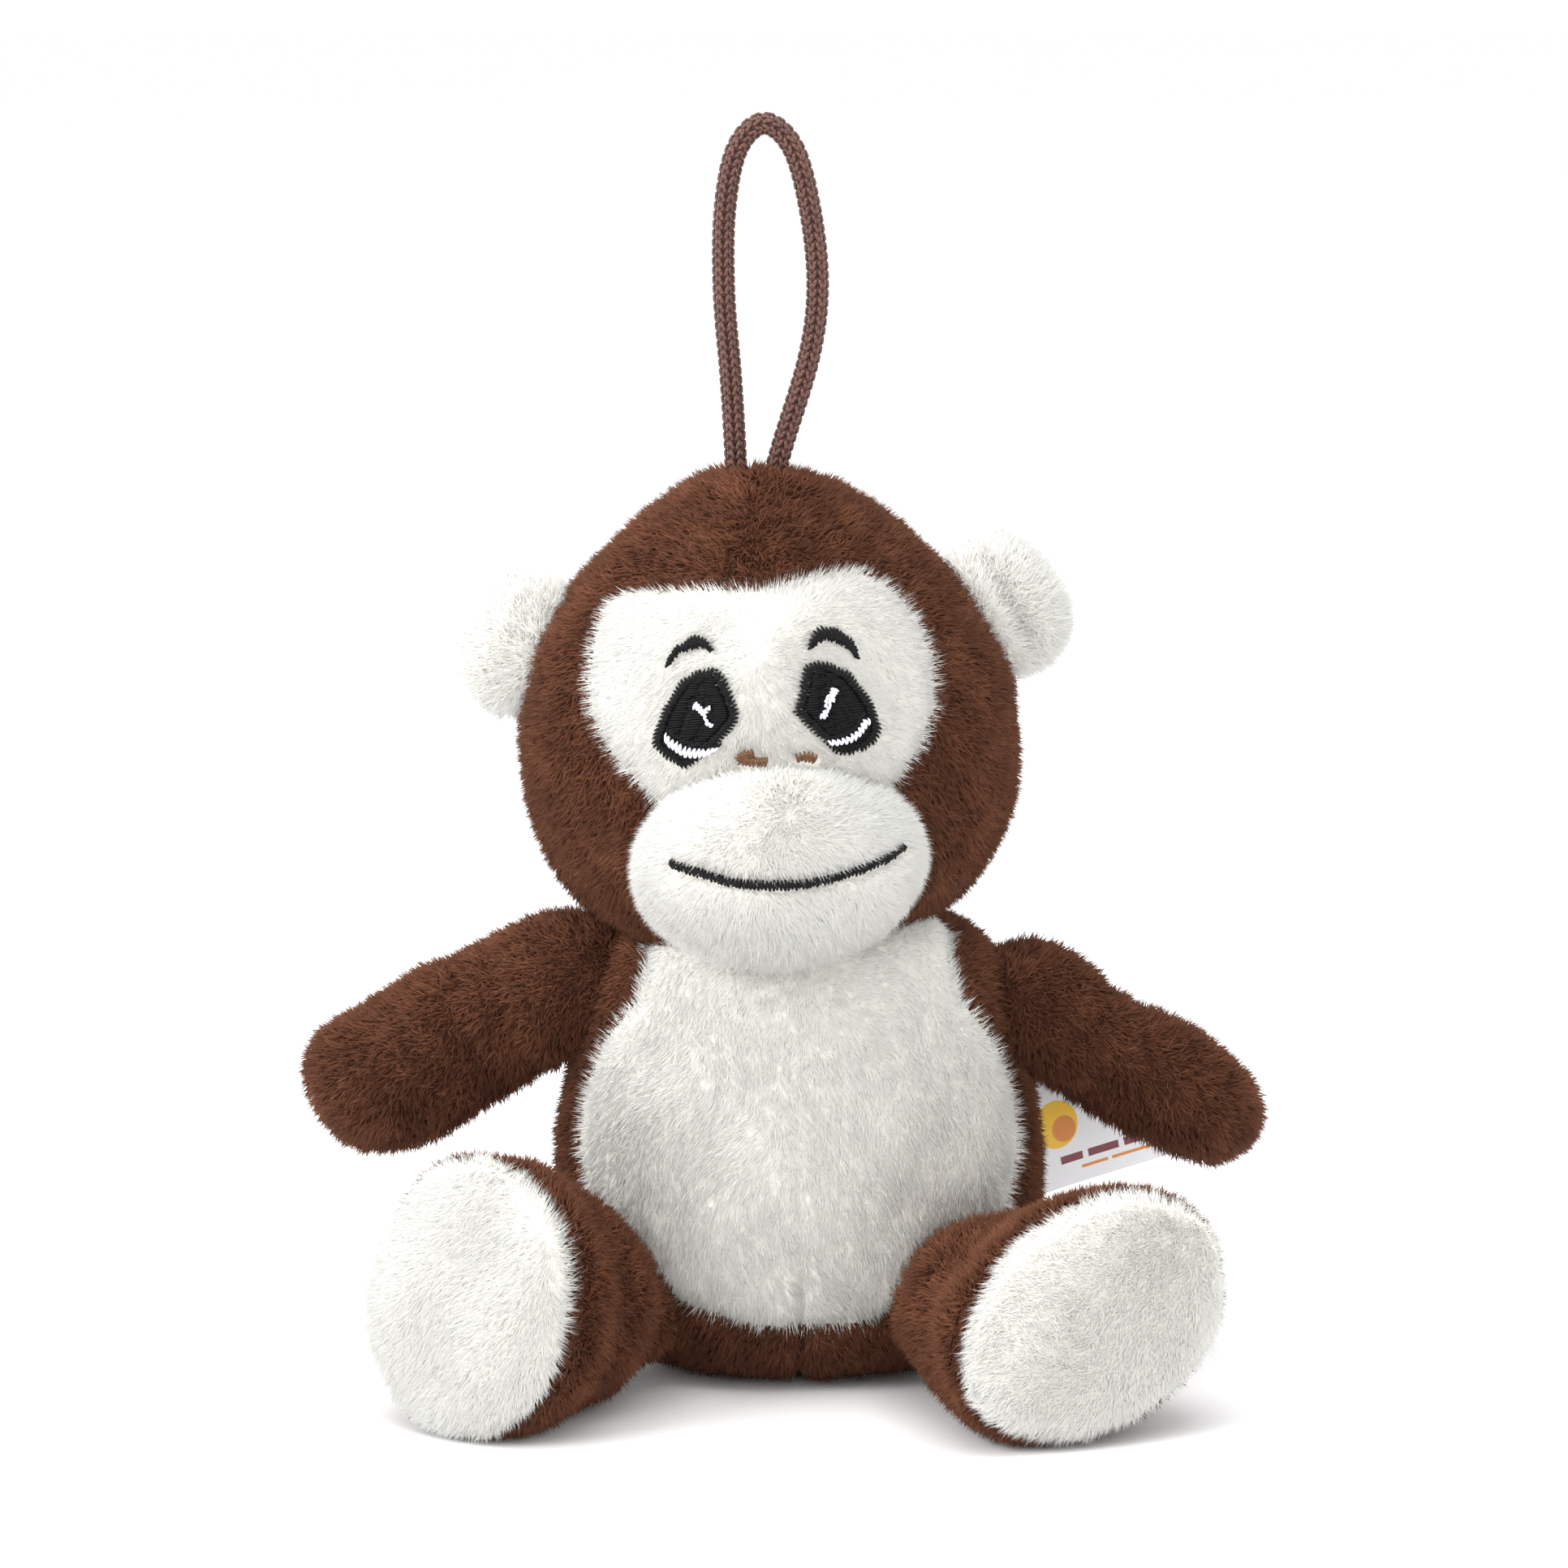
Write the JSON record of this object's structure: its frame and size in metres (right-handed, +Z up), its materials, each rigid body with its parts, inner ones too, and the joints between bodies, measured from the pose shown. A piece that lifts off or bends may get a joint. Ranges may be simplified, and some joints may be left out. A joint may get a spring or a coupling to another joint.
{
  "type": "plush monkey",
  "caption": "Small seated stuffed monkey with a padded muzzle, embroidered face, soft jointed head, arms, legs and ears, and a cord loop on top of the head.",
  "frame": {"origin": "middle of the flat underside of the seat panel, where the toy sits", "axes": "+Z up, the monkey faces -Y, +X to the viewer's right as the toy faces the viewer"},
  "size_m": [0.1217, 0.0779, 0.1539],
  "materials": {
    "brown_plush": "short brown pile",
    "cream_plush": "short cream pile",
    "fibre_filling": "loose white fibre",
    "black_embroidery": "satin stitch",
    "white_embroidery": "satin stitch",
    "brown_embroidery": "satin stitch",
    "knitted_cord": "knitted polyester cord",
    "satin_label": "woven satin",
    "sewing_thread": "twisted thread"
  },
  "bodies": {
    "torso": {"torso_left_panel": "brown_plush", "torso_right_panel": "brown_plush", "belly_panel": "cream_plush", "seat_panel": "brown_plush", "torso_stuffing": "fibre_filling"},
    "neck_ring": {"neck_stitching": "sewing_thread"},
    "neck": {"neck_stuffing": "brown_plush"},
    "head": {"head_left_panel": "brown_plush", "head_right_panel": "brown_plush", "face_panel": "cream_plush", "muzzle_upper_panel": "cream_plush", "muzzle_lower_panel": "cream_plush", "head_stuffing": "fibre_filling", "muzzle_stuffing": "fibre_filling", "left_eye": "black_embroidery", "left_eye_glint": "white_embroidery", "left_eye_crescent": "white_embroidery", "left_brow": "black_embroidery", "left_nostril": "brown_embroidery", "right_eye": "black_embroidery", "right_eye_glint": "white_embroidery", "right_eye_crescent": "white_embroidery", "right_brow": "black_embroidery", "right_nostril": "brown_embroidery", "mouth_line": "black_embroidery", "loop_stitching": "sewing_thread"},
    "left_ear": {"left_ear_front": "cream_plush", "left_ear_back": "cream_plush"},
    "right_ear": {"right_ear_front": "cream_plush", "right_ear_back": "cream_plush"},
    "loop": {"hanging_loop": "knitted_cord"},
    "label": {"side_label": "satin_label"},
    "left_shoulder": {"left_shoulder_thread": "sewing_thread"},
    "left_arm": {"left_arm_front_panel": "brown_plush", "left_arm_back_panel": "brown_plush", "left_arm_stuffing": "fibre_filling"},
    "left_hip": {"left_hip_thread": "sewing_thread"},
    "left_leg": {"left_leg_outer_panel": "brown_plush", "left_leg_inner_panel": "brown_plush", "left_sole": "cream_plush", "left_leg_stuffing": "fibre_filling"},
    "right_shoulder": {"right_shoulder_thread": "sewing_thread"},
    "right_arm": {"right_arm_front_panel": "brown_plush", "right_arm_back_panel": "brown_plush", "right_arm_stuffing": "fibre_filling"},
    "right_hip": {"right_hip_thread": "sewing_thread"},
    "right_leg": {"right_leg_outer_panel": "brown_plush", "right_leg_inner_panel": "brown_plush", "right_sole": "cream_plush", "right_leg_stuffing": "fibre_filling"}
  },
  "joints": [
    {"name": "neck_turn", "type": "hinge", "parent": "torso", "child": "neck_ring", "pos_m": [-0.0015, 0, 0.05], "axis": [0, 0, 1], "range_deg": [-40, 40], "stiffness_Nm_per_rad": 0.03},
    {"name": "neck_lean", "type": "hinge", "parent": "neck_ring", "child": "neck", "pos_m": [-0.0015, 0, 0.05], "axis": [0, 1, 0], "range_deg": [-4, 10], "stiffness_Nm_per_rad": 0.06},
    {"name": "neck_nod", "type": "hinge", "parent": "neck", "child": "head", "pos_m": [-0.0015, 0, 0.05], "axis": [1, 0, 0], "range_deg": [-10, 10], "stiffness_Nm_per_rad": 0.06},
    {"name": "left_ear_fold", "type": "hinge", "parent": "head", "child": "left_ear", "pos_m": [-0.03234, 0.001, 0.08817], "axis": [0.3338, 0, 0.9426], "range_deg": [-20, 20], "stiffness_Nm_per_rad": 0.002},
    {"name": "right_ear_fold", "type": "hinge", "parent": "head", "child": "right_ear", "pos_m": [0.02298, 0.001, 0.09252], "axis": [0.4772, 0, -0.8788], "range_deg": [-20, 20], "stiffness_Nm_per_rad": 0.002},
    {"name": "loop_fold", "type": "hinge", "parent": "head", "child": "loop", "pos_m": [-0.0049, 0, 0.1137], "axis": [1, 0, 0], "range_deg": [-65, 65], "stiffness_Nm_per_rad": 0.002},
    {"name": "label_flap", "type": "hinge", "parent": "torso", "child": "label", "pos_m": [0.0289, 0.0104, 0.0174], "axis": [-0.1729, -0.0806, 0.9816], "range_deg": [-5, 45], "stiffness_Nm_per_rad": 0.0005},
    {"name": "left_arm_swing", "type": "hinge", "parent": "torso", "child": "left_shoulder", "pos_m": [-0.0284, 0, 0.045], "axis": [-0.788, 0, 0.6157], "range_deg": [-8, 35], "stiffness_Nm_per_rad": 0.012},
    {"name": "left_arm_raise", "type": "hinge", "parent": "left_shoulder", "child": "left_arm", "pos_m": [-0.0284, 0, 0.045], "axis": [0, 1, 0], "range_deg": [-5, 45], "stiffness_Nm_per_rad": 0.012},
    {"name": "left_leg_roll", "type": "hinge", "parent": "torso", "child": "left_hip", "pos_m": [-0.0228, -0.0169, 0.0106], "axis": [-0.5707, -0.7983, 0.1924], "range_deg": [-20, 20], "stiffness_Nm_per_rad": 0.02},
    {"name": "left_leg_spread", "type": "hinge", "parent": "left_hip", "child": "left_leg", "pos_m": [-0.0228, -0.0169, 0.0106], "axis": [0, 0, -1], "range_deg": [-8, 16], "stiffness_Nm_per_rad": 0.02},
    {"name": "right_arm_swing", "type": "hinge", "parent": "torso", "child": "right_shoulder", "pos_m": [0.0284, 0, 0.0448], "axis": [-0.788, 0, -0.6157], "range_deg": [-8, 35], "stiffness_Nm_per_rad": 0.012},
    {"name": "right_arm_raise", "type": "hinge", "parent": "right_shoulder", "child": "right_arm", "pos_m": [0.0284, 0, 0.0448], "axis": [0, -1, 0], "range_deg": [-5, 45], "stiffness_Nm_per_rad": 0.012},
    {"name": "right_leg_roll", "type": "hinge", "parent": "torso", "child": "right_hip", "pos_m": [0.0226, -0.018, 0.0106], "axis": [0.4229, -0.8944, 0.1456], "range_deg": [-20, 20], "stiffness_Nm_per_rad": 0.02},
    {"name": "right_leg_spread", "type": "hinge", "parent": "right_hip", "child": "right_leg", "pos_m": [0.0226, -0.018, 0.0106], "axis": [0, 0, 1], "range_deg": [-8, 16], "stiffness_Nm_per_rad": 0.02}
  ]
}
